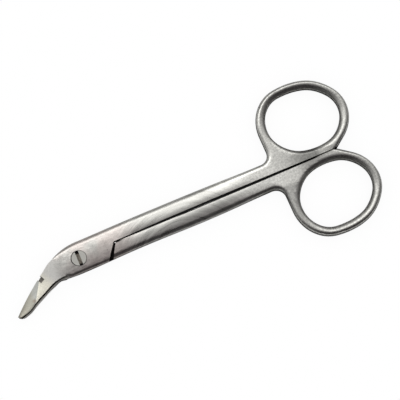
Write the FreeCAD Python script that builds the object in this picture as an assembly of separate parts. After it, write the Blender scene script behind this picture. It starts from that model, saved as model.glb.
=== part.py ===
# Angled wire-cutting suture scissors: two forged steel halves turning on one screw.
# Units are millimetres. The origin is on the screw's axis, at the plane on which the
# closed scissors lie. X runs along the shanks to the finger rings and Z is up.
# Each half is first made about its own sliding plane at z = 0, with its lap above it.
import FreeCAD, Part
import math
import os

# Thickness of a shank, of a ring and of both laps together, and of a blade at its tip
thickness = 3.4
tip_thickness = 0.9
taper_start_x = -6.5

# Half widths of the closed pair, from the line between the halves
middle_y = 0.4
joint_half_width = 4.9
corner_half_width = 4.93
upper_shank_half_width = 5.05
lower_shank_half_width = 4.65
rear_shank_half_width = 4.9
neck_half_width = 4.5
shank_waist_x = 17.0
shank_rear_x = 44.0

# Finger rings: the hole's radius at each eighth of a turn, from the far end upwards
ring_centre_x = 81.3
ring_centre_offset = 12.75
hole_radii = (11.8, 10.34, 9.7, 11.49, 11.75, 10.56, 9.78, 10.98)
ring_width = 2.95
web_width = 3.15
web_top = 13.0
neck_radius = 3.2
ring_foot_slope = 0.74

# Gaps between the inner faces of the shanks
joint_gap = 0.2
shank_gap = 0.55
ring_gap = 0.06
gap_middle_x = 42.0
gap_close_x = 78.0

# Half lap: the shoulder line of one half and the end line of the other's lap
shoulder_top_x = 12.5
shoulder_low_x = 9.5
lap_end_top_x = 11.9
lap_end_low_x = 8.2
lap_blank_x = 14.0

# Corner where the joint's side turns into the blades' long edge
corner_start_x = 0.6
corner_end = (-8.5, 2.61)

# Upper blade: cutting edge from the corner to the tip, and its back from there to the lap
cutting_edge = ((-12.88, -0.29), (-18.16, -4.1))
upper_tip = (-23.9, -9.4)
upper_nose = (-23.35, -9.78)
upper_back = ((-22.0, -9.68), (-14.75, -6.27), (-8.2, -3.6), (-6.5, -3.42))
upper_heel_x = -3.4
nose_way = (0.3, -1.0)

# Lower blade: its back lies a little inside, and its serrated edge stands out below
lower_back_inset = (0.08, -0.09)
lower_bulge_x = -0.5
lower_bulge_half_width = 4.98
lower_heel = (-6.0, -4.2)
serrated_edge = ((-7.45, -4.07), (-10.4, -5.1), (-16.45, -8.0), (-20.95, -10.1), (-22.5, -10.3))
lower_tip = (-23.8, -9.68)

# Ground facets: a wheel's hollow along each working edge
wheel_radius = 38.0
facet_width = 2.13
facet_depth = 0.8
upper_facet_line = ((-13.75, -0.83), (-23.85, -9.6))
upper_facet_middle = 7.8
lower_facet_line = ((-10.4, -5.1), (-20.95, -10.1))
lower_facet_middle = 6.5

# Serrations
tooth_pitch = 0.42
tooth_depth = 0.16
tooth_open = 0.84
teeth_skipped = 3

# Wire notch in the upper blade
notch_place = (-12.95, -2.1)
notch_turn = 30.0
notch_width = 1.45
notch_depth = 1.15

# Roundings
outer_round = 1.3
hole_round = 1.25
lap_round = 0.8
face_chamfer = 0.2
round_steps = 5

# Screw
head_radius = 2.4
head_depth = 1.0
shank_radius = 1.4
screw_clearance = 0.05
tail_recess = 0.1
slot_width = 0.9
slot_depth = 0.55
screw_rim = 0.12

lap_thickness = thickness / 2
tall = 12.0
far = 120.0


def vec(x, y, z=0.0):
    return FreeCAD.Vector(x, y, z)


def line(start, end):
    return Part.LineSegment(start, end).toShape()


def polygon(points):
    corners = [vec(*p) for p in points]
    return [line(a, b) for a, b in zip(corners, corners[1:] + corners[:1])]


def upright(edges, base=-tall / 2, height=tall):
    """A closed outline drawn out to a solid along Z."""
    solid = Part.Face(Part.Wire(edges)).extrude(vec(0, 0, height))
    solid.translate(vec(0, 0, base))
    return solid


def only_solid(shape):
    return shape.Solids[0]


def across(point):
    """The same place on the other side of the line between the halves."""
    return vec(point[0], 2 * middle_y - point[1])


def arc(start, leave, end):
    """The arc that leaves start along the direction leave and ends at end."""
    chord = end - start
    along = chord * (1 / chord.Length)
    turn = leave.dot(along)
    bulge = (leave - along * turn) * (chord.Length / 2 / (1 + turn))
    if bulge.Length < 1e-6:
        return line(start, end)
    return Part.Arc(start, (start + end) * 0.5 + bulge, end).toShape()


def onward(way, start, end):
    """The direction at the end of an arc that leaves start along way."""
    along = (end - start).normalize()
    return along * (2 * along.dot(way)) - way


def arc_pair(start, leave, end, arrive):
    """Two arcs in one smooth run, leaving start along leave and reaching end along arrive."""
    chord = end - start
    a = 2 * (1 - leave.dot(arrive))
    b = 2 * chord.dot(leave + arrive)
    c = chord.dot(chord)
    reach = c / b if a < 1e-9 else (math.sqrt(b * b + 4 * a * c) - b) / (2 * a)
    meet = (start + end + (leave - arrive) * reach) * 0.5
    return [arc(start, leave, meet), arc(meet, onward(leave, start, meet), end)]


def ways_through(points, first, last):
    """The direction of a smooth run at each of its points."""
    ways = []
    for before, here, after in zip(points, points[1:], points[2:]):
        come = here - before
        go = after - here
        way = come * (go.Length / come.Length) + go * (come.Length / go.Length)
        ways.append(way.normalize())
    if first is None:
        first = onward(ways[0], points[0], points[1])
    if last is None:
        last = onward(ways[-1], points[-2], points[-1])
    return [first] + ways + [last]


def smooth_run(points, first=None, last=None):
    """Arcs in one smooth run through all the points."""
    ways = ways_through(points, first, last)
    edges = []
    for i in range(len(points) - 1):
        edges += arc_pair(points[i], ways[i], points[i + 1], ways[i + 1])
    return edges


def round_inset(radius, z):
    """How far a rounded edge has drawn in at the height z."""
    above = abs(z) - (thickness / 2 - radius)
    if above <= 0:
        return 0.0
    return radius - math.sqrt(max(radius ** 2 - above ** 2, 0.0))


def round_levels(radius):
    """Heights of the sections, from the underside to the top, a step of the rounding apart."""
    steps = [math.pi / 2 * i / round_steps for i in range(round_steps + 1)]
    heights = [thickness / 2 - radius * (1 - math.sin(a)) for a in steps]
    return [-z for z in reversed(heights)] + heights


def section(edges, z):
    wire = Part.Wire(edges)
    wire.translate(vec(0, 0, z))
    return wire


def ring_point(eighth, extra):
    turn = math.radians(45 * eighth)
    reach = hole_radii[eighth % 8] + extra
    return vec(
        ring_centre_x + reach * math.cos(turn),
        middle_y + ring_centre_offset + reach * math.sin(turn))


def hole_edges(extra):
    points = [ring_point(k, extra) for k in range(9)]
    around = ways_through([points[7], points[0], points[1]], None, None)[1]
    return smooth_run(points, around, around)


def hole_cutter():
    """A finger hole with its rounded rims, as a stack of sections."""
    levels = round_levels(hole_round)
    levels = [levels[0] - 1.0] + levels + [levels[-1] + 1.0]
    wires = [section(hole_edges(round_inset(hole_round, min(abs(z), lap_thickness))), z) for z in levels]
    return Part.makeLoft(wires, True, True)


def handle_edges(inset):
    """Outline from beyond the gap round the finger ring and the neck to the shank."""
    foot_way = vec(1.0, ring_foot_slope).normalize()
    start = ring_point(7, ring_width - inset)
    foot = start - foot_way * ((start.y - middle_y + 2.0) / foot_way.y)
    inner = foot + vec(-foot_way.y, foot_way.x) * 1.2
    web = vec(ring_point(4, web_width).x + inset, middle_y + web_top)
    neck_y = middle_y + neck_half_width
    neck_top = vec(web.x, neck_y + neck_radius)
    neck_end = vec(web.x - inset - neck_radius, neck_y - inset)
    around = [ring_point(k, ring_width - inset) for k in (7, 8, 9, 10, 11)]
    edges = [line(inner, foot), line(foot, start)]
    edges += smooth_run(around + [web], foot_way, vec(0, -1))
    edges += [line(web, neck_top), arc(neck_top, vec(0, -1), neck_end)]
    return edges, inner, neck_end


def shank_points(waist_half_width, inset):
    return [
        vec(shank_rear_x, middle_y + rear_shank_half_width - inset),
        vec(shank_waist_x, middle_y + waist_half_width - inset)]


def closing_lines(last, inner):
    """The blank's end inside the joint, which the cutters take off."""
    end = vec(lap_blank_x, last.y)
    top = vec(lap_blank_x, inner.y)
    return [line(last, end), line(end, top), line(top, inner)]


def upper_outline(z):
    """The upper half's outline at the height z. Its blade points to -Y."""
    inset = round_inset(outer_round, z)
    edges, inner, neck_end = handle_edges(inset)
    corner = vec(corner_start_x, middle_y + corner_half_width - inset)
    turn = vec(*corner_end)
    tip = vec(*upper_tip)
    heel = vec(upper_heel_x, middle_y - joint_half_width + round_inset(lap_round, z))
    left = vec(-1, 0)
    edge = [vec(*p) for p in cutting_edge]
    back = [vec(*upper_nose)] + [vec(*p) for p in upper_back]
    edges += smooth_run([neck_end] + shank_points(upper_shank_half_width, inset) + [corner], left, left)
    edges += [arc(corner, left, turn)]
    edges += smooth_run([turn] + edge + [tip], onward(left, corner, turn))
    edges += smooth_run([tip] + back + [heel], vec(*nose_way).normalize(), -left)
    return edges + closing_lines(heel, inner)


def lower_outline(z):
    """The lower half's outline as it is made, turned over: its blade points to +Y."""
    inset = round_inset(outer_round, z)
    edges, inner, neck_end = handle_edges(inset)
    inward = vec(*lower_back_inset)
    corner = vec(corner_start_x, middle_y - corner_half_width + round_inset(lap_round, z))
    turn = across(vec(*corner_end) + inward)
    tip = across(lower_tip)
    bulge = vec(lower_bulge_x, middle_y + lower_bulge_half_width - inset)
    heel = across(lower_heel)
    left = vec(-1, 0)
    teeth = [across(p) for p in serrated_edge]
    back = [across(vec(*p) + inward) for p in reversed(cutting_edge)]
    back_way = -onward(left, corner, turn)
    edges += smooth_run([neck_end] + shank_points(lower_shank_half_width, inset) + [bulge], left, left)
    edges += [arc(bulge, left, heel)]
    edges += smooth_run([heel] + teeth + [tip], onward(left, bulge, heel))
    edges += smooth_run([tip] + back + [turn], None, back_way)
    edges += [arc(turn, back_way, corner)]
    return edges + closing_lines(corner, inner)


def blank(outline):
    """The forging, with its rounded outer edges, as a stack of sections."""
    return Part.makeLoft([section(outline(z), z) for z in round_levels(outer_round)], True, True)


def gap_outline(extra):
    """Round all that lies past the inner face of the shank and past the end of the lap."""
    top = middle_y + joint_gap / 2 + extra
    low = middle_y - joint_half_width
    end_top = vec(lap_end_top_x - extra, top)
    end_low = vec(lap_end_low_x - extra, low)
    end_beyond = end_low + (end_low - end_top)
    bow = vec(gap_middle_x, middle_y + shank_gap / 2 + extra)
    close = vec(gap_close_x, middle_y + ring_gap / 2 + extra)
    return [
        line(end_beyond, end_top),
        Part.Arc(end_top, bow, close).toShape(),
        line(close, vec(far, close.y)),
        line(vec(far, close.y), vec(far, -far)),
        line(vec(far, -far), vec(end_beyond.x, -far)),
        line(vec(end_beyond.x, -far), end_beyond),
    ]


def gap_cutter():
    """Cuts the gap, with a small chamfer along the faces it leaves."""
    edge = thickness / 2
    levels = ((edge + face_chamfer, 2 * face_chamfer), (edge - face_chamfer, 0.0))
    stack = [(-z, extra) for z, extra in levels] + [(z, extra) for z, extra in reversed(levels)]
    return Part.makeLoft([section(gap_outline(extra), z) for z, extra in stack], True, True)


def lap_cutter():
    """The lower half of the thickness, from the shoulder line to beyond the tip."""
    top = vec(shoulder_top_x, middle_y)
    low = vec(shoulder_low_x, middle_y + joint_half_width)
    slope = (top - low).normalize()
    a = top + slope * far
    b = low - slope * far
    edges = polygon(((a.x, a.y), (b.x, b.y), (-far, b.y), (-far, a.y)))
    return upright(edges, -tall, tall)


def taper_cutter():
    """The wedge above a blade, which thins it towards its tip."""
    run = taper_start_x - upper_tip[0]
    drop = lap_thickness - tip_thickness
    points = (
        (taper_start_x, lap_thickness),
        (taper_start_x - 1.5 * run, lap_thickness - 1.5 * drop),
        (taper_start_x - 1.5 * run, tall),
        (taper_start_x, tall))
    edges = polygon([(x, -far, z) for x, z in points])
    return Part.Face(Part.Wire(edges)).extrude(vec(0, 2 * far, 0))


def wheel_cutter(start, end, middle):
    """The grinding wheel's rim where it hollows a facet along an edge."""
    along = (end - start).normalize()
    out = vec(along.y, -along.x)
    slope = math.atan2(facet_depth, facet_width)
    drop = (lap_thickness - tip_thickness) / (taper_start_x - upper_tip[0])
    crest = start + along * middle - out * facet_width
    crest.z = lap_thickness - drop * (taper_start_x - crest.x)
    up = out * math.sin(slope) + vec(0, 0, math.cos(slope))
    axle = out * math.cos(slope) - vec(0, 0, math.sin(slope))
    centre = crest + up * wheel_radius
    return Part.makeCylinder(wheel_radius, 3 * tall, centre - axle * 1.5 * tall, axle)


def notch_cutter():
    """The square notch that takes hold of a wire, through the upper blade."""
    turn = math.radians(notch_turn)
    width = vec(math.cos(turn), math.sin(turn))
    depth = vec(-math.sin(turn), math.cos(turn))
    base = vec(*notch_place)
    left = base - width * (notch_width / 2)
    right = base + width * (notch_width / 2)
    out = depth * (2 * notch_depth)
    return upright(polygon((tuple(left), tuple(right), tuple(right + out), tuple(left + out))))


def serrated_run():
    """The lower blade's serrated edge, as it is made, from the heel to the tip."""
    left = vec(-1, 0)
    bulge = vec(lower_bulge_x, middle_y + lower_bulge_half_width)
    heel = across(lower_heel)
    return smooth_run([heel] + [across(p) for p in serrated_edge] + [across(lower_tip)], onward(left, bulge, heel))


def serration_cutters():
    """V-shaped grooves across the thickness, a pitch apart along the serrated edge."""
    spots = Part.Wire(serrated_run()).discretize(Distance=tooth_pitch)
    cutters = []
    for before, here, after in list(zip(spots, spots[1:], spots[2:]))[teeth_skipped:-teeth_skipped]:
        along = (after - before).normalize()
        out = vec(along.y, -along.x)
        root = here - out * tooth_depth
        mouth = here + out * tooth_depth
        side = along * (tooth_pitch * tooth_open)
        cutters.append(upright(polygon((tuple(root), tuple(mouth - side), tuple(mouth + side)))))
    return cutters


def bore(radius, low, high):
    return Part.makeCylinder(radius, high - low, vec(0, 0, low), vec(0, 0, 1))


def forged(outline):
    """One half before its blade is ground: rounded, holed, and cut to its lap."""
    body = only_solid(blank(outline).cut(hole_cutter()))
    body = only_solid(body.cut(gap_cutter()))
    body = only_solid(body.cut(lap_cutter()))
    return only_solid(body.cut(taper_cutter()))


def upper_half():
    start, end = [vec(*p) for p in upper_facet_line]
    body = forged(upper_outline)
    body = only_solid(body.cut(wheel_cutter(start, end, upper_facet_middle)))
    body = only_solid(body.cut(notch_cutter()))
    body = only_solid(body.cut(bore(head_radius + screw_clearance, lap_thickness - head_depth, tall)))
    body = only_solid(body.cut(bore(shank_radius + screw_clearance, -tall, tall)))
    body.translate(vec(0, 0, lap_thickness))
    return body


def lower_half():
    start, end = [across(p) for p in lower_facet_line]
    body = forged(lower_outline)
    body = only_solid(body.cut(wheel_cutter(start, end, lower_facet_middle)))
    body = only_solid(body.cut(serration_cutters()))
    body.rotate(vec(0, middle_y, 0), vec(1, 0, 0), 180)
    body = only_solid(body.cut(bore(shank_radius, -tall, tall)))
    body.translate(vec(0, 0, lap_thickness))
    return body


def pivot_screw():
    """A slotted screw, its head let in flush and its tail just short of the underside."""
    seat = thickness - head_depth
    profile = polygon([(x, 0.0, z) for x, z in (
        (0.0, tail_recess),
        (shank_radius, tail_recess),
        (shank_radius, seat),
        (head_radius, seat),
        (head_radius, thickness - screw_rim),
        (head_radius - screw_rim, thickness),
        (0.0, thickness))])
    body = Part.Face(Part.Wire(profile)).revolve(vec(0, 0, 0), vec(0, 0, 1), 360)
    slot = Part.makeBox(slot_width, 3 * head_radius, tall, vec(-slot_width / 2, -1.5 * head_radius, thickness - slot_depth))
    return only_solid(body.cut(slot))


os.makedirs("parts", exist_ok=True)
for name, shape in (
        ("upper_half", upper_half()),
        ("lower_half", lower_half()),
        ("pivot_screw", pivot_screw())):
    shape.exportStep("parts/" + name + ".step")
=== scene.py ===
"""Wire-cutting suture scissors, closed and lying flat on a white table.

Lengths are named in millimetres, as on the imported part, and turned into metres by MM.
The origin is on the screw's axis, X runs to the finger rings and Z is up.
Where a tone fades, a pair of numbers gives the place where it is absent and the one where it is
full, and two such pairs bound a stretch, one at each of its ends.
"""
import math

import bpy
from mathutils import Matrix, Vector


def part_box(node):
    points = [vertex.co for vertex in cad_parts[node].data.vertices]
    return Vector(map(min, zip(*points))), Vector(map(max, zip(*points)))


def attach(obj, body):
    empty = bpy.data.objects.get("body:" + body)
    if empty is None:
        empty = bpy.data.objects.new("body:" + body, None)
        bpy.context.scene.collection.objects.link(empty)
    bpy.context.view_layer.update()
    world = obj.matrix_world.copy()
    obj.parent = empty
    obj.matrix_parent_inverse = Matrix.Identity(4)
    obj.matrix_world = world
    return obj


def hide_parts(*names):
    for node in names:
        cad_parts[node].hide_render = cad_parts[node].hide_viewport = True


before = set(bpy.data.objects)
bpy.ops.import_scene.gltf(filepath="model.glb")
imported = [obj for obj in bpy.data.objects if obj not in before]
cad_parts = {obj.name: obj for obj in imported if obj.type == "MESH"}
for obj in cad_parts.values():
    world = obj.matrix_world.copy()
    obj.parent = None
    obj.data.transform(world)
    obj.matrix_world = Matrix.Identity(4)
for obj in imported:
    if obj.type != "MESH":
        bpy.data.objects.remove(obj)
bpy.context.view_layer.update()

MM = 0.001

# The camera looks from the near side, steeply down, with the shanks turned across the view.
PICTURE = 400
CAMERA_RISE = math.radians(78.0)
CAMERA_TURN = math.radians(23.35)
CAMERA_DISTANCE = 390.0
CAMERA_FOCUS_PX = 3.203 * CAMERA_DISTANCE
CAMERA_CLIP = (0.01, 10.0)
SENSOR = 36.0
SCREW_PX = (78.9, 258.05)

# The studio's light by its tilt from overhead, towards the side beyond the upper shank
BRIGHT_SIDE = (0.0, 1.0, 0.0)
RING_SIDE = (1.0, 0.0, 0.0)
SKY_TONES = (
    (-90, 0.20), (-62, 0.17), (-49, 0.065), (-36, 0.03), (-11, 0.035), (-6, 0.12),
    (-2, 0.44), (3, 0.67), (9, 0.74), (13, 0.80), (17, 0.92), (21, 1.35), (25, 2.9),
    (34, 2.9), (41, 1.0), (60, 0.85), (90, 1.35))
NEAR_TINT = (1.0, 0.93, 0.98)
NEAR_TINT_BELOW = 0.5
# The share of that light that is left, by the tilt towards the rings
SIDE_TONES = (
    (-90, 0.60), (-20, 0.60), (-14, 0.70), (-7, 1.0), (5, 1.0), (12, 0.80), (30, 0.60), (90, 0.60))

# Glow added past the rings and past the blades, by how far a direction points there
RING_GLOW = 0.22
RING_GLOW_FADE = (0.30, 0.80)
BLADE_GLOW = 0.20
BLADE_GLOW_FADE = (-0.30, -0.80)
# Low down only a share of all this is left, with a glow of its own. The sky is whole where a
# direction points up by the second number.
LOW_SKY = 0.18
LOW_GLOW = 0.025
LOW_SKY_FADE = (0.15, 0.85)

# The table, its shade near the object as the camera sees it, and what metal sees of it
TABLE_SIZE = 1600.0
TABLE_PLACE = (30.0, 0.0, -0.01)
TABLE_PAINT = 0.85
TABLE_SHADE = 0.07
TABLE_SHADE_REACH = 8.0
STEEL_SHADE_REACH = 60.0
STEEL_SHADE_FADE = (0.97, 1.0)
STEEL_SEES_SHADE = 0.05
STEEL_SEES_OPEN = 0.70
SHADE_SAMPLES = 8

# The part, as packed
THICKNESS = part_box("upper_half")[1].z / MM
SLIDING_Z = THICKNESS / 2
MIDDLE_Y = 0.4
SLOT_HALF_WIDTH = 0.45
SCREW_RADIUS = 2.4
# A vertex this near to a place lies on it
CLOSE = 0.02

# Packed vertices this near are one, faces within this angle are one flat, and edges past the
# smooth angle stay sharp.
MERGE_DISTANCE = 0.0005
FLAT_ANGLE = math.radians(0.05)
SMOOTH_ANGLE = math.radians(32.0)

# Cells laid over the webs, so that the roundings' soft shading ends there
WEB_CELLS_X = (61.0, 80.0)
WEB_CELLS_OFF = (5.5, 14.0)
WEB_CELL = 1.1

# Crown across the pair of shanks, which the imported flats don't have
CROWN_DROPS = (
    (-10.0, 0.0), (-3.0, 0.43), (8.0, 0.43), (18.0, 0.36), (33.0, 0.57), (46.0, 0.57), (61.0, 0.0))
CROWN_REACH = 5.0
CROWN_COLUMN = 1.5
CROWN_ROW = 0.55
EDGE_DROP = 0.19
EDGE_REACH = 2.0
EDGE_START_X = (13.0, 20.0)
EDGE_END_X = (52.0, 66.0)

# Section of the finger rings: a crest, and a longer slope to the hole than to the outside.
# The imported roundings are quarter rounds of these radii.
RING_X = 81.3
RING_Y = 12.75
RING_START_X = RING_X - 20.0
RING_REACH = RING_X / 4
HOLE_REACH = 12.2
PACKED_HOLE_ROUND = 1.25
PACKED_OUTER_ROUND = 1.3
HOLE_ROUND_SLACK = 0.15
RING_WIDTH = 2.95
RING_CREST = 1.95
RING_WALL = 0.25
# Angles round the ring at which the outer slope ends at the web, and starts again past it
RING_OUTER_END = (math.radians(168), math.radians(192))
RING_OUTER_START = (math.radians(285), math.radians(305))

# The gap between the shanks is finer next to the joint: how far the chamfers are drawn in
GAP_DRAWS = {
    1: ((11.0, 0.13), (23.0, 0.13), (31.0, 0.0)),
    -1: ((11.0, 0.13), (44.0, 0.13), (54.0, 0.0))}
# The chamfers' vertices lie this near the middle, and this near the upper or the lower face
GAP_REACH = 0.7
GAP_DEPTH = 0.05

# The screw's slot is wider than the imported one, whose vertices all lie above this depth.
SLOT_WIDER = 1.22
SLOT_SEARCH_DEPTH = 0.7


# Shader graphs

class Wire:
    """A shader socket that adds a Math node when it is used in an expression."""

    def __init__(self, graph, socket):
        self.graph = graph
        self.socket = socket

    def maths(self, operation, first, second=0.0):
        return self.graph.node("ShaderNodeMath", {"operation": operation}, {0: first, 1: second})

    def __add__(self, other):
        return self.maths("ADD", self, other)

    def __radd__(self, other):
        return self.maths("ADD", other, self)

    def __sub__(self, other):
        return self.maths("SUBTRACT", self, other)

    def __rsub__(self, other):
        return self.maths("SUBTRACT", other, self)

    def __mul__(self, other):
        return self.maths("MULTIPLY", self, other)

    def __rmul__(self, other):
        return self.maths("MULTIPLY", other, self)

    def __truediv__(self, other):
        return self.maths("DIVIDE", self, other)

    def __rtruediv__(self, other):
        return self.maths("DIVIDE", other, self)

    def __pow__(self, other):
        return self.maths("POWER", self, other)

    def __rpow__(self, other):
        return self.maths("POWER", other, self)

    def __abs__(self):
        return self.maths("ABSOLUTE", self)

    def least(self, other):
        return self.maths("MINIMUM", self, other)

    def most(self, other):
        return self.maths("MAXIMUM", self, other)

    def ramp(self, low, high):
        """0 up to low and 1 from high on, with soft ends. low may be the larger."""
        return self.graph.node(
            "ShaderNodeMapRange", {"interpolation_type": "SMOOTHSTEP"},
            {"Value": self, "From Min": low, "From Max": high})

    def span(self, one_end, other_end):
        """1 between two ends and 0 outside them. Each end is a pair for ramp."""
        return self.ramp(*one_end) * self.ramp(*other_end)


class Graph:
    """The node tree of a material or the world."""

    def __init__(self, owner):
        owner.use_nodes = True
        self.tree = owner.node_tree
        self.tree.nodes.clear()

    def node(self, kind, settings=None, inputs=None, output=0):
        """Any node: its settings first, then the values or wires of its sockets."""
        made = self.tree.nodes.new(kind)
        for name, value in (settings or {}).items():
            if name == "stops":
                self.set_stops(made.color_ramp, value)
            else:
                setattr(made, name, value)
        for key, value in (inputs or {}).items():
            if isinstance(value, Wire):
                self.tree.links.new(value.socket, made.inputs[key])
            else:
                made.inputs[key].default_value = value
        return Wire(self, made.outputs[output]) if made.outputs else None

    def set_stops(self, ramp, stops):
        while len(ramp.elements) > 1:
            ramp.elements.remove(ramp.elements[-1])
        for i, (place, colour) in enumerate(stops):
            element = ramp.elements[0] if i == 0 else ramp.elements.new(place)
            element.position = place
            element.color = colour

    def place(self):
        """Object coordinates in millimetres, and their three parts."""
        at = self.node("ShaderNodeTexCoord", output="Object")
        scaled = self.scaled(at, 1 / MM)
        parts = [self.node("ShaderNodeSeparateXYZ", None, {0: scaled}, i) for i in range(3)]
        return scaled, parts

    def noise(self, at, cells, stretch, turn, detail, rough):
        """Noise of a size in cells a millimetre, drawn out by stretch after a turn about Z."""
        mapped = self.node(
            "ShaderNodeMapping", None,
            {"Vector": at, "Rotation": (0, 0, turn), "Scale": stretch})
        return self.node(
            "ShaderNodeTexNoise", None,
            {"Vector": mapped, "Scale": cells, "Detail": detail, "Roughness": rough})

    def scaled(self, colour, share):
        return self.node("ShaderNodeVectorMath", {"operation": "SCALE"}, {0: colour, "Scale": share})

    def blend(self, factor, first, second):
        """The first colour where factor is 0 and the second where it is 1."""
        return self.node(
            "ShaderNodeMix", {"data_type": "RGBA"},
            {0: factor, 6: first, 7: second}, 2)

    def varied(self, factor, colour, contrast):
        """The colour, darker by contrast where factor is 0 and lighter by it where it is 1."""
        return self.blend(factor, self.scaled(colour, 1 - contrast), self.scaled(colour, 1 + contrast))

    def metal(self, tint, roughness, height, strength, depth):
        """Ends the graph in a metal whose bumps are height times depth millimetres deep."""
        bump = self.node(
            "ShaderNodeBump", None, {"Height": height, "Strength": strength, "Distance": depth * MM})
        shader = self.node(
            "ShaderNodeBsdfPrincipled", None,
            {"Base Color": tint, "Metallic": 1.0, "Roughness": roughness, "Normal": bump})
        self.node("ShaderNodeOutputMaterial", None, {"Surface": shader})


def rgb(red, green, blue):
    return (red, green, blue, 1.0)


# Steel

BLACK = rgb(0.0, 0.0, 0.0)
WHITE = rgb(1.0, 1.0, 1.0)
STEEL = rgb(0.535, 0.53, 0.50)
STEEL_WARM = rgb(0.56, 0.51, 0.48)
CORNER_STEEL = rgb(0.665, 0.655, 0.625)
BLADE_STEEL = rgb(0.85, 0.82, 0.71)
# The facet's tints are partly its own cooler tone and partly painted shade of its tilt
FACET_SHADE_STEEL = rgb(0.42, 0.425, 0.40)
FACET_END_SHADE_STEEL = rgb(0.36, 0.35, 0.30)
TIP_STEEL = rgb(0.35, 0.335, 0.285)
SCREW_STEEL = rgb(0.50, 0.495, 0.46)
# Painted shade and shadow along the serrated edge
TOOTH_SHADE_GREY = rgb(0.36, 0.35, 0.325)
TOOTH_SHADOW = rgb(0.035, 0.033, 0.03)
# Painted shade in the wire notch
NOTCH_SHADE_GREY = rgb(0.17, 0.16, 0.14)
# Painted shade in the screw's slot, with lighter worn patches
SLOT_SHADE_GREY = rgb(0.10, 0.09, 0.075)
SLOT_SHADE_WORN = rgb(0.24, 0.215, 0.18)
STAIN = rgb(0.22, 0.145, 0.10)
# Near-black painted shade, for the recesses, the gap line, the screw's rim and the ends of its slot
SHADE_BLACK = rgb(0.006, 0.0055, 0.0055)

# Tones of the joint and the blades
WARM_FADE = (0.3, 0.6)
WARM_X = (24.0, 10.0)
CORNER_X = (-5.5, -9.0)
BLADE_SLANT = 0.6
BLADE_X = (-10.5, -14.5)
# The facet's tint also covers a strip of flat past the real facet, as painted shade
FACET_LINE = ((-14.2, -2.3), (-16.6, -6.3))
FACET_FADE = (0.12, -0.12)
FACET_Z = (SLIDING_Z, SLIDING_Z + 0.05)
FACET_END_X = (-16.5, -18.5)
TIP_X = (-19.6, -21.2)
STAIN_PLACE = (-17.5, -6.8)
STAIN_FADE = (0.9, 0.1)
STAIN_STRENGTH = 0.55

# Painted light and shade on the webs before the rings: a lighter field on both halves, a darker one on the
# upper
UPPER_SIDE_Y = (MIDDLE_Y - 0.1, MIDDLE_Y + 0.1)
LOWER_SIDE_Y = (MIDDLE_Y + 0.1, MIDDLE_Y - 0.1)
WEB_PAINTED_LIGHT = 1.5
UPPER_LIGHT_X = ((42.0, 56.0), (74.0, 62.0))
LOWER_LIGHT_RISE_X = (48.0, 70.0)
LOWER_LIGHT_FALL_X = (77.0, 71.0)
LOWER_LIGHT_SHARE = 1.3
LOWER_LIGHT_Y = (-2.6, -1.0)
LOWER_LIGHT_WIDER = 2.5
LOWER_LIGHT_WIDER_X = (63.0, 67.0)
WEB_PAINTED_SHADE = 0.42
WEB_DARK_X = ((69.0, 78.0), (83.0, 80.0))
WEB_DARK_Y = (4.2, 3.4)

# The strips of painted shade along the serrated edge, by the way from it: a grey one at the edge and a
# near-black painted shadow of the upper blade
TOOTH_LINE = ((-20.95, -10.1), (-10.4, -5.1))
TOOTH_X = (-3.5, -5.5)
TOOTH_Z = (SLIDING_Z + 0.05, SLIDING_Z + 0.02)
TOOTH_STRIP_FADE = (0.60, 0.48)
TOOTH_SHADOW_FADE = ((0.48, 0.60), (0.95, 0.80))

# The patch of the lower blade that the wire notch lays bare, painted in shade
NOTCH = (-13.25, -1.45)
NOTCH_TURN = math.radians(30.0)
NOTCH_ALONG_FADE = (0.85, 0.74)
NOTCH_ACROSS_FADE = (0.95, 0.8)
NOTCH_Z = (SLIDING_Z - 0.1, SLIDING_Z - 0.02)

# The painted shade in the recess round the lap, between its end and the shoulder, and on the inner faces of
# the shanks
LAP_END = ((11.9, 0.5), (8.2, -4.5))
SHOULDER = ((12.5, 0.4), (9.5, -4.5))
PAST_LAP_FADE = (-0.15, 0.0)
PAST_SHOULDER_FADE = (0.15, 0.0)
RECESS_Y = (MIDDLE_Y + 0.3, MIDDLE_Y + 0.1)
RECESS_Z = ((SLIDING_Z - 0.2, SLIDING_Z - 0.05), (THICKNESS - 0.12, THICKNESS - 0.35))
INNER_FACE_OFF = (0.5, 0.4)
INNER_FACE_X = (11.5, 12.5)
INNER_FACE_OFF_Z = (SLIDING_Z - 0.10, SLIDING_Z - 0.20)

# The painted shade round the screw's rim
RIM_FADE = ((SCREW_RADIUS - 0.2, SCREW_RADIUS - 0.1), (SCREW_RADIUS + 0.24, SCREW_RADIUS + 0.12))
RIM_Z = (THICKNESS - 1.2, THICKNESS - 1.0)
CRESCENT_WAY = (-0.93, 0.36)
CRESCENT_FADE = (0.6, 2.2)
CRESCENT_SHADE = 0.85
RIM_SHADE = 0.04

# The dark line of painted shade along the shanks' inner edges, where the gap between them lies
GAP_LINE_Y = 0.24
GAP_LINE_FADE = (0.41, 0.29)
GAP_LINE_X = ((30.0, 36.0), (81.5, 79.5))
SHOULDER_LINE_X = ((12.1, 12.4), (15.0, 13.2))
GAP_LINE_THINNER = 0.07
GAP_LINE_THINNER_X = (58.0, 80.0)

# Noise: cells a millimetre, stretch, turn, detail and roughness
WARM_BLOTCHES = (0.12, (1, 1, 1), 0.0, 3.0, 0.5)
GRAIN = (4.0, (0.6, 1.5, 1.0), math.radians(14), 3.0, 0.75)
CLOUDS = (0.30, (0.8, 1.2, 1.0), math.radians(-10), 3.0, 0.6)
SPECKLE = (1.5, (1, 1, 1), 0.0, 2.0, 0.5)
SCREW_GRAIN = (3.0, (1.6, 0.3, 1.0), math.radians(20), 3.0, 0.6)

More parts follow.
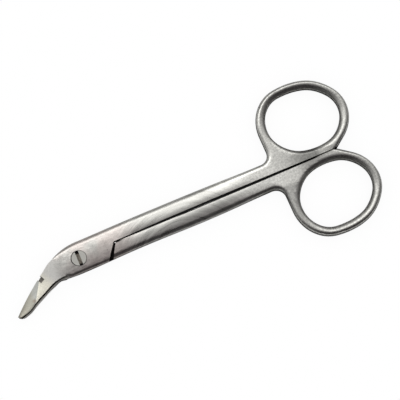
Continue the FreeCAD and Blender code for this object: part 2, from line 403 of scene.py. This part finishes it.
# Grinding marks: their centre, marks a millimetre, and how many times longer than wide they are
# at MARK_RADIUS from the centre. The guard keeps the centre from a division by zero.
SHANK_ARCS = ((30.6, -18.8), 1.1, 9.0)
FINE_ARCS = ((30.6, -18.8), 3.2, 22.0)
JOINT_ARCS = ((0.6, -0.4), 0.9, 7.0)
MARK_RADIUS = 10.0
CENTRE_GUARD = 0.01
MARK_DETAIL = 3.0
MARK_ROUGH = 0.6
SHANK_ARCS_X = ((12.0, 17.0), (62.0, 44.0))
JOINT_ARCS_X = ((-9.0, -5.0), (18.0, 11.0))
SHANK_ARCS_SHARE = 2.2
JOINT_ARCS_SHARE = 0.9

# How strongly marks, grain and speckle show in the tint, the roughness and the height
MARK_TINT = 1.5
FINE_TINT = 0.5
MARK_CONTRAST = 0.20
GRAIN_FADE = (0.2, 0.8)
GRAIN_CONTRAST = 0.17
SPECKLE_FADE = (0.32, 0.68)
SPECKLE_X = (46.0, 60.0)
SPECKLE_CONTRAST = 0.13
SATIN_ROUGHNESS = 0.25
GRAIN_ROUGHNESS = 0.1
MARK_ROUGHNESS = 0.1
GRAIN_HEIGHT = 0.6
FINE_HEIGHT = 0.3
MARK_HEIGHT = 1.8
CLOUD_HEIGHT = 14.0
SATIN_BUMP = 0.5
SATIN_DEPTH = 0.012

# The screw's slot, painted in shade, and its finish
SLOT_Z = (THICKNESS - 0.08, THICKNESS - 0.2)
SLOT_X = (SLOT_HALF_WIDTH * SLOT_WIDER + 0.08, SLOT_HALF_WIDTH * SLOT_WIDER)
SLOT_FAR_END_Y = (1.25, 1.6)
SLOT_NEAR_END_Y = (-1.3, -2.0)
SLOT_WORN_FADE = (0.35, 0.65)
SCREW_ROUGHNESS = 0.26
SCREW_GRAIN_ROUGHNESS = 0.14
SCREW_BUMP = 0.3
SCREW_DEPTH = 0.03


def left_of(x, y, start, end):
    """Distance in millimetres to the left of the line from start to end."""
    run = Vector(end) - Vector(start)
    run.normalize()
    return (x - start[0]) * -run.y + (y - start[1]) * run.x


def distance(x, y, centre):
    """Distance in millimetres from a point of the table's plane."""
    east, north = x - centre[0], y - centre[1]
    return (east * east + north * north) ** 0.5


def recess_shade(x, y, z):
    """1 where shade is painted: in the narrow gaps round the lap, on both sides of the pair, and between the
    shanks.
    """
    painted_shade = 0.0
    for up, level in ((y, z), (2 * MIDDLE_Y - y, THICKNESS - z)):
        between = left_of(x, up, *LAP_END).ramp(*PAST_LAP_FADE)
        between *= left_of(x, up, *SHOULDER).ramp(*PAST_SHOULDER_FADE)
        painted_shade = between * level.span(*RECESS_Z) * up.ramp(*RECESS_Y) + painted_shade
    inner_face = abs(y - MIDDLE_Y).ramp(*INNER_FACE_OFF) * x.ramp(*INNER_FACE_X)
    inside = abs(z - SLIDING_Z).ramp(*INNER_FACE_OFF_Z)
    return (painted_shade + inner_face * inside).least(1.0)


def rim_shade(x, y, z):
    """Painted shade round the screw's rim: a dark crescent on the blade's side, and a faint ring round the
    rest.
    """
    on_rim = distance(x, y, (0, 0)).span(*RIM_FADE) * z.ramp(*RIM_Z)
    crescent = (x * CRESCENT_WAY[0] + y * CRESCENT_WAY[1]).ramp(*CRESCENT_FADE)
    return on_rim * (crescent * CRESCENT_SHADE + RIM_SHADE)


def tooth_shade_strips(x, y, z):
    """Two strips of painted shade on the lower blade's upper face along its serrated edge: a grey one at the
    edge and a dark painted shadow beyond it.
    """
    from_edge = left_of(x, y, *TOOTH_LINE)
    on_face = z.ramp(*TOOTH_Z) * x.ramp(*TOOTH_X)
    return from_edge.ramp(*TOOTH_STRIP_FADE) * on_face, from_edge.span(*TOOTH_SHADOW_FADE) * on_face


def notch_shade(x, y, z):
    """1 on what the wire notch lays bare, where shade is painted."""
    east, north = x - NOTCH[0], y - NOTCH[1]
    along = east * math.cos(NOTCH_TURN) + north * math.sin(NOTCH_TURN)
    across = east * -math.sin(NOTCH_TURN) + north * math.cos(NOTCH_TURN)
    return abs(along).ramp(*NOTCH_ALONG_FADE) * abs(across).ramp(*NOTCH_ACROSS_FADE) * z.ramp(*NOTCH_Z)


def gap_shade(x, y):
    """The dark line of painted shade along the inner edges: at the shoulder's corner, and from mid-shank to
    the rings.
    """
    off = abs(y - GAP_LINE_Y) + x.ramp(*GAP_LINE_THINNER_X) * GAP_LINE_THINNER
    return off.ramp(*GAP_LINE_FADE) * (x.span(*GAP_LINE_X) + x.span(*SHOULDER_LINE_X))


def wheel_marks(graph, x, y, centre, marks_per_mm, stretch):
    """Noise drawn out along arcs round a centre, as a grinding wheel leaves it."""
    east, north = x - centre[0], y - centre[1]
    away = (east * east + north * north + CENTRE_GUARD) ** 0.5
    share = away * (stretch / marks_per_mm / MARK_RADIUS)
    at = graph.node(
        "ShaderNodeCombineXYZ", None, {0: away * marks_per_mm, 1: east / share, 2: north / share})
    return graph.node(
        "ShaderNodeTexNoise", None,
        {"Vector": at, "Scale": 1.0, "Detail": MARK_DETAIL, "Roughness": MARK_ROUGH})


def web_tones(graph, tint, x, y):
    """The webs before the rings, with their painted lighter fields and the painted shade of the upper half.
    """
    above, below = y.ramp(*UPPER_SIDE_Y), y.ramp(*LOWER_SIDE_Y)
    near_gap = (y + x.ramp(*LOWER_LIGHT_WIDER_X) * LOWER_LIGHT_WIDER).ramp(*LOWER_LIGHT_Y)
    lower_light = x.ramp(*LOWER_LIGHT_RISE_X) ** 2 * x.ramp(*LOWER_LIGHT_FALL_X) * LOWER_LIGHT_SHARE
    light = above * x.span(*UPPER_LIGHT_X) + below * near_gap * lower_light
    tint = graph.blend(light, tint, graph.scaled(tint, WEB_PAINTED_LIGHT))
    dark = above * x.span(*WEB_DARK_X) * y.ramp(*WEB_DARK_Y)
    return graph.blend(dark, tint, graph.scaled(tint, WEB_PAINTED_SHADE))


def blade_tones(graph, tint, x, y, z):
    """The joint's corner, the blades with the ground facet, whose tint is partly painted shade, the tips,
    and a stain on the facet.
    """
    tint = graph.blend(x.ramp(*CORNER_X), tint, CORNER_STEEL)
    tint = graph.blend((x + y * BLADE_SLANT).ramp(*BLADE_X), tint, BLADE_STEEL)
    facet = graph.blend(x.ramp(*FACET_END_X), FACET_SHADE_STEEL, FACET_END_SHADE_STEEL)
    tint = graph.blend(left_of(x, y, *FACET_LINE).ramp(*FACET_FADE) * z.ramp(*FACET_Z), tint, facet)
    tint = graph.blend(x.ramp(*TIP_X), tint, TIP_STEEL)
    return graph.blend(distance(x, y, STAIN_PLACE).ramp(*STAIN_FADE) * STAIN_STRENGTH, tint, STAIN)


def shade_tones(graph, tint, x, y, z):
    """Painted shade: the notch, the strips along the serrated edge, and the gaps and the screw's rim."""
    tint = graph.blend(notch_shade(x, y, z), tint, NOTCH_SHADE_GREY)
    edge_shade, edge_shadow = tooth_shade_strips(x, y, z)
    tint = graph.blend(edge_shade, tint, TOOTH_SHADE_GREY)
    tint = graph.blend(edge_shadow, tint, TOOTH_SHADOW)
    for painted_shade in (recess_shade(x, y, z), gap_shade(x, y), rim_shade(x, y, z)):
        tint = graph.blend(painted_shade, tint, SHADE_BLACK)
    return tint


def satin_steel():
    """The forgings' steel, ground along arcs and polished to a satin finish, with painted light and shade on
    the webs, the facet, the gaps, the notch and along the serrated edge.
    """
    material = bpy.data.materials.new("satin_forged_steel")
    graph = Graph(material)
    at, (x, y, z) = graph.place()
    warm = graph.noise(at, *WARM_BLOTCHES).ramp(*WARM_FADE) * x.ramp(*WARM_X)
    tint = graph.blend(warm, STEEL, STEEL_WARM)
    tint = web_tones(graph, tint, x, y)
    tint = blade_tones(graph, tint, x, y, z)
    tint = shade_tones(graph, tint, x, y, z)
    grain = graph.noise(at, *GRAIN)
    clouds = graph.noise(at, *CLOUDS)
    shank_arcs = wheel_marks(graph, x, y, *SHANK_ARCS)
    fine_arcs = wheel_marks(graph, x, y, *FINE_ARCS)
    joint_arcs = wheel_marks(graph, x, y, *JOINT_ARCS)
    on_joint = x.span(*JOINT_ARCS_X)
    marks = (shank_arcs - 0.5) * x.span(*SHANK_ARCS_X) * SHANK_ARCS_SHARE
    marks += (joint_arcs - 0.5) * on_joint * JOINT_ARCS_SHARE
    streaks = (0.5 + marks * MARK_TINT + (fine_arcs - 0.5) * FINE_TINT).least(1.0).most(0.0)
    tint = graph.varied(streaks, tint, MARK_CONTRAST)
    tint = graph.varied(grain.ramp(*GRAIN_FADE), tint, GRAIN_CONTRAST)
    speckled = graph.varied(graph.noise(at, *SPECKLE).ramp(*SPECKLE_FADE), tint, SPECKLE_CONTRAST)
    tint = graph.blend(x.ramp(*SPECKLE_X), tint, speckled)
    roughness = SATIN_ROUGHNESS + grain * GRAIN_ROUGHNESS + marks * MARK_ROUGHNESS
    height = grain * GRAIN_HEIGHT + fine_arcs * FINE_HEIGHT + marks * MARK_HEIGHT
    height += clouds * on_joint * CLOUD_HEIGHT
    graph.metal(tint, roughness, height, SATIN_BUMP, SATIN_DEPTH)
    return material


def screw_steel():
    """The screw's steel, with painted shade in its slot, mottled lighter where worn in its middle and
    near-black at its ends.
    """
    material = bpy.data.materials.new("turned_screw_steel")
    graph = Graph(material)
    at, (x, y, z) = graph.place()
    grain = graph.noise(at, *SCREW_GRAIN)
    in_slot = z.ramp(*SLOT_Z) * abs(x).ramp(*SLOT_X)
    ends = (y.ramp(*SLOT_FAR_END_Y) + y.ramp(*SLOT_NEAR_END_Y)).least(1.0)
    slot_shade = graph.blend(grain.ramp(*SLOT_WORN_FADE), SLOT_SHADE_GREY, SLOT_SHADE_WORN)
    tint = graph.blend(in_slot, SCREW_STEEL, graph.blend(ends, slot_shade, SHADE_BLACK))
    roughness = SCREW_ROUGHNESS + grain * SCREW_GRAIN_ROUGHNESS
    graph.metal(tint, roughness, grain, SCREW_BUMP, SCREW_DEPTH)
    return material


# Pieces

def alone(obj):
    """Makes obj the only selected object, and the active one."""
    bpy.ops.object.select_all(action="DESELECT")
    obj.select_set(True)
    bpy.context.view_layer.objects.active = obj


def merged_copy(node, name):
    """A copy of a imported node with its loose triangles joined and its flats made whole."""
    piece = bpy.data.objects.new(name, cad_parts[node].data.copy())
    bpy.context.scene.collection.objects.link(piece)
    alone(piece)
    bpy.ops.mesh.customdata_custom_splitnormals_clear()
    bpy.ops.object.mode_set(mode="EDIT")
    bpy.ops.mesh.select_all(action="SELECT")
    bpy.ops.mesh.remove_doubles(threshold=MERGE_DISTANCE * MM)
    bpy.ops.mesh.dissolve_limited(angle_limit=FLAT_ANGLE)
    bpy.ops.object.mode_set(mode="OBJECT")
    return piece


def steps(start, end, step):
    """Places from start on, a step apart, none past end."""
    return [start + i * step for i in range(int((end - start) / step) + 1)]


def soft_step(value, low, high):
    """0 up to low and 1 from high on, with soft ends."""
    share = min(max((value - low) / (high - low), 0.0), 1.0)
    return share * share * (3 - 2 * share)


def by_stretches(stretches, x):
    """The value at x between the stretches' ends, and 0 beyond them."""
    for (start, low), (end, high) in zip(stretches, stretches[1:]):
        if start <= x <= end:
            return low + (high - low) * soft_step(x, start, end)
    return 0.0


def cut_into_cells(piece, side):
    """Lays rows and columns of edges over the crowned stretch and the web."""
    columns = steps(CROWN_DROPS[0][0], CROWN_DROPS[-1][0], CROWN_COLUMN)
    columns += steps(*WEB_CELLS_X, WEB_CELL)
    rows = steps(-CROWN_REACH, CROWN_REACH, CROWN_ROW)
    rows += [side * y for y in steps(*WEB_CELLS_OFF, WEB_CELL)]
    bpy.ops.object.mode_set(mode="EDIT")
    for x in columns:
        bpy.ops.mesh.select_all(action="SELECT")
        bpy.ops.mesh.bisect(plane_co=(x * MM, 0, 0), plane_no=(1, 0, 0))
    for y in rows:
        bpy.ops.mesh.select_all(action="SELECT")
        bpy.ops.mesh.bisect(plane_co=(0, (MIDDLE_Y + y) * MM, 0), plane_no=(0, 1, 0))
    bpy.ops.mesh.select_all(action="SELECT")
    bpy.ops.mesh.quads_convert_to_tris(quad_method="BEAUTY", ngon_method="BEAUTY")
    bpy.ops.object.mode_set(mode="OBJECT")


def crown(piece):
    """Lowers the shanks' outer sides and, a little, the edges along the gap."""
    for vertex in piece.data.vertices:
        x, y, z = vertex.co / MM
        off = abs(y - MIDDLE_Y)
        drop = by_stretches(CROWN_DROPS, x) * min(off / CROWN_REACH, 1.0) ** 2
        ends = soft_step(x, *EDGE_START_X) * (1 - soft_step(x, *EDGE_END_X))
        drop += EDGE_DROP * ends * max(1 - off / EDGE_REACH, 0.0) ** 2
        vertex.co.z = (SLIDING_Z + (z - SLIDING_Z) * (1 - drop / SLIDING_Z)) * MM


def ring_height(share):
    """Height over the middle of the thickness, by the share of the way from the crest to a wall."""
    return RING_WALL + (SLIDING_Z - RING_WALL) * math.sqrt(max(1 - share * share, 0.0))


def inset_of(height, radius):
    """How far from the wall a packed rounding reaches a height over the middle of the thickness."""
    above = min(max(height - (SLIDING_Z - radius), 0.0), radius)
    return radius - math.sqrt(radius * radius - above * above)


def hole_walls(piece, centre):
    """Angle and radius of the hole's wall round its centre."""
    walls = []
    for vertex in piece.data.vertices:
        x, y, z = vertex.co / MM
        away = math.hypot(x - centre[0], y - centre[1])
        if away < HOLE_REACH and abs(z - SLIDING_Z) < SLIDING_Z - PACKED_HOLE_ROUND + CLOSE:
            walls.append((math.atan2(y - centre[1], x - centre[0]) % math.tau, away))
    return sorted(walls)


def wall_radius(walls, angle):
    """Radius of the hole's wall at the angle nearest to the one asked for."""
    return min(walls, key=lambda wall: abs((wall[0] - angle + math.pi) % math.tau - math.pi))[1]


def shape_ring(piece, side):
    """Gives the finger ring its crested section. side is 1 for the ring at +Y and -1 at -Y."""
    centre = (RING_X, MIDDLE_Y + side * RING_Y)
    walls = hole_walls(piece, centre)
    for vertex in piece.data.vertices:
        x, y, z = vertex.co / MM
        away = math.hypot(x - centre[0], y - centre[1])
        if away > RING_REACH or x < RING_START_X:
            continue
        angle = math.atan2(y - centre[1], x - centre[0]) % math.tau
        height = abs(z - SLIDING_Z)
        if away - wall_radius(walls, angle) < PACKED_HOLE_ROUND + HOLE_ROUND_SLACK:
            wall = SLIDING_Z - PACKED_HOLE_ROUND
            inset = inset_of(height, PACKED_HOLE_ROUND)
            shaped = ring_height((RING_CREST - inset) / RING_CREST)
            part = 1.0
        else:
            wall = SLIDING_Z - PACKED_OUTER_ROUND
            inset = inset_of(height, PACKED_OUTER_ROUND)
            past_crest = RING_WIDTH - inset - RING_CREST
            shaped = ring_height(past_crest / (RING_WIDTH - RING_CREST if past_crest > 0 else RING_CREST))
            turned = (angle * side) % math.tau
            part = 1 - soft_step(turned, *RING_OUTER_END) + soft_step(turned, *RING_OUTER_START)
        if height <= wall:
            shaped = RING_WALL * height / wall
        height += (shaped - height) * part
        vertex.co.z = (SLIDING_Z + math.copysign(height, z - SLIDING_Z)) * MM


def draw_gap_in(piece, side):
    """Draws the chamfers along the shanks' inner faces together next to the joint."""
    for vertex in piece.data.vertices:
        x, y, z = vertex.co / MM
        if abs(y - MIDDLE_Y) < GAP_REACH and abs(z - SLIDING_Z) > SLIDING_Z - GAP_DEPTH:
            draw = by_stretches(GAP_DRAWS[side], x)
            vertex.co.y -= math.copysign(draw, y - MIDDLE_Y) * MM


def smooth(piece):
    alone(piece)
    bpy.ops.object.shade_smooth_by_angle(angle=SMOOTH_ANGLE)


def finish_piece(piece, node, body, material):
    """Paints the piece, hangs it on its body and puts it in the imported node's place."""
    piece.data.materials.clear()
    piece.data.materials.append(material)
    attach(piece, body)
    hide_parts(node)


def half(node, name, body, side, material):
    """One forging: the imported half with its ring, the gap's chamfers and the crown shaped further."""
    piece = merged_copy(node, name)
    shape_ring(piece, side)
    draw_gap_in(piece, side)
    cut_into_cells(piece, side)
    crown(piece)
    smooth(piece)
    finish_piece(piece, node, body, material)


def screw():
    """The pivot screw, with its slot widened."""
    piece = merged_copy("pivot_screw", "slotted_screw")
    for vertex in piece.data.vertices:
        x, y, z = vertex.co / MM
        if abs(abs(x) - SLOT_HALF_WIDTH) < CLOSE and z > THICKNESS - SLOT_SEARCH_DEPTH:
            vertex.co.x *= SLOT_WIDER
    smooth(piece)
    finish_piece(piece, "pivot_screw", "lower", screw_steel())


# Studio

def across_view():
    """Directions in the table's plane: across the picture, and away from the camera."""
    right = Vector((math.cos(CAMERA_TURN), -math.sin(CAMERA_TURN), 0))
    away = Vector((math.sin(CAMERA_TURN), math.cos(CAMERA_TURN), 0))
    return right, away


def camera_target():
    """The point of the table's plane in the middle of the picture, from the screw's pixel."""
    rise, flat = math.sin(CAMERA_RISE), math.cos(CAMERA_RISE)
    rightward = (SCREW_PX[0] - PICTURE / 2) / CAMERA_FOCUS_PX
    upward = (PICTURE / 2 - SCREW_PX[1]) / CAMERA_FOCUS_PX
    above_head = CAMERA_DISTANCE - THICKNESS * rise
    screw_away = (upward * above_head - THICKNESS * flat) / (rise - upward * flat)
    screw_right = rightward * (above_head + screw_away * flat)
    right, away = across_view()
    return (right * -screw_right + away * -screw_away) * MM


def make_camera():
    right, away = across_view()
    back = Vector((0, 0, math.sin(CAMERA_RISE))) - away * math.cos(CAMERA_RISE)
    up = back.cross(right)
    data = bpy.data.cameras.new("table_camera")
    data.sensor_width = SENSOR
    data.lens = SENSOR * CAMERA_FOCUS_PX / PICTURE
    data.clip_start, data.clip_end = CAMERA_CLIP
    camera = bpy.data.objects.new("table_camera", data)
    bpy.context.scene.collection.objects.link(camera)
    turn = Matrix((right, up, back)).transposed().to_4x4()
    camera.matrix_world = Matrix.Translation(camera_target() + back * CAMERA_DISTANCE * MM) @ turn
    bpy.context.scene.camera = camera


def tones_along(graph, way, side, tones):
    """Light levels that change with the tilt towards one side, tinted where the near side is dim."""
    toward = graph.node("ShaderNodeVectorMath", {"operation": "DOT_PRODUCT"}, {0: way, 1: side}, "Value")
    stops = []
    for tilt, level in tones:
        red, green, blue = NEAR_TINT if level < NEAR_TINT_BELOW and tilt < 0 else WHITE[:3]
        stops.append((math.sin(math.radians(tilt)) / 2 + 0.5, rgb(level * red, level * green, level * blue)))
    return graph.node("ShaderNodeValToRGB", {"stops": stops}, {0: toward * 0.5 + 0.5})


def make_world():
    """The studio: a bright side beyond the object and a dim near side, white where the camera sees it."""
    world = bpy.data.worlds.new("studio")
    bpy.context.scene.world = world
    graph = Graph(world)
    way = graph.node("ShaderNodeTexCoord", output="Generated")
    across = tones_along(graph, way, BRIGHT_SIDE, SKY_TONES)
    lengthwise = tones_along(graph, way, RING_SIDE, SIDE_TONES)
    sky = graph.node("ShaderNodeVectorMath", {"operation": "MULTIPLY"}, {0: across, 1: lengthwise})
    along = graph.node("ShaderNodeSeparateXYZ", None, {0: way}, 0)
    up = graph.node("ShaderNodeSeparateXYZ", None, {0: way}, 2)
    glow = along.ramp(*RING_GLOW_FADE) * RING_GLOW + along.ramp(*BLADE_GLOW_FADE) * BLADE_GLOW
    sky = graph.node("ShaderNodeVectorMath", {"operation": "ADD"}, {0: sky, 1: glow})
    low_glow = (LOW_GLOW, LOW_GLOW, LOW_GLOW)
    low = graph.node(
        "ShaderNodeVectorMath", {"operation": "ADD"}, {0: graph.scaled(sky, LOW_SKY), 1: low_glow})
    sky = graph.blend(up.ramp(*LOW_SKY_FADE), low, sky)
    seen = graph.node("ShaderNodeLightPath", output="Is Camera Ray")
    light = graph.node(
        "ShaderNodeBackground", None, {"Color": graph.blend(seen, sky, WHITE), "Strength": 1.0})
    graph.node("ShaderNodeOutputWorld", None, {"Surface": light})


def table_white():
    """Camera and metal see the table white, less the shade near the object."""
    material = bpy.data.materials.new("white_table")
    graph = Graph(material)
    by_camera = graph.node("ShaderNodeLightPath", output="Is Camera Ray")
    by_metal = graph.node("ShaderNodeLightPath", output="Is Glossy Ray")
    near_open, far_open = [
        graph.node("ShaderNodeAmbientOcclusion", {"samples": SHADE_SAMPLES}, {"Distance": reach * MM}, "AO")
        for reach in (TABLE_SHADE_REACH, STEEL_SHADE_REACH)]
    shade = by_camera * (1 - (1 - near_open) * TABLE_SHADE)
    shade += by_metal * (far_open.ramp(*STEEL_SHADE_FADE) * STEEL_SEES_OPEN + STEEL_SEES_SHADE)
    paint = graph.node("ShaderNodeBsdfDiffuse", None, {"Color": rgb(TABLE_PAINT, TABLE_PAINT, TABLE_PAINT)})
    glow = graph.node(
        "ShaderNodeEmission", None, {"Color": graph.blend(shade, BLACK, WHITE), "Strength": 1.0})
    mixed = graph.node("ShaderNodeMixShader", None, {0: by_camera.most(by_metal), 1: paint, 2: glow})
    graph.node("ShaderNodeOutputMaterial", None, {"Surface": mixed})
    return material


def make_table():
    bpy.ops.mesh.primitive_plane_add(size=TABLE_SIZE * MM, location=Vector(TABLE_PLACE) * MM)
    table = bpy.context.active_object
    table.name = "table_top"
    table.data.materials.append(table_white())


bpy.context.scene.view_settings.view_transform = "Standard"
make_camera()
make_world()
make_table()
steel = satin_steel()
half("upper_half", "upper_forging", "upper", 1, steel)
half("lower_half", "lower_forging", "lower", -1, steel)
screw()
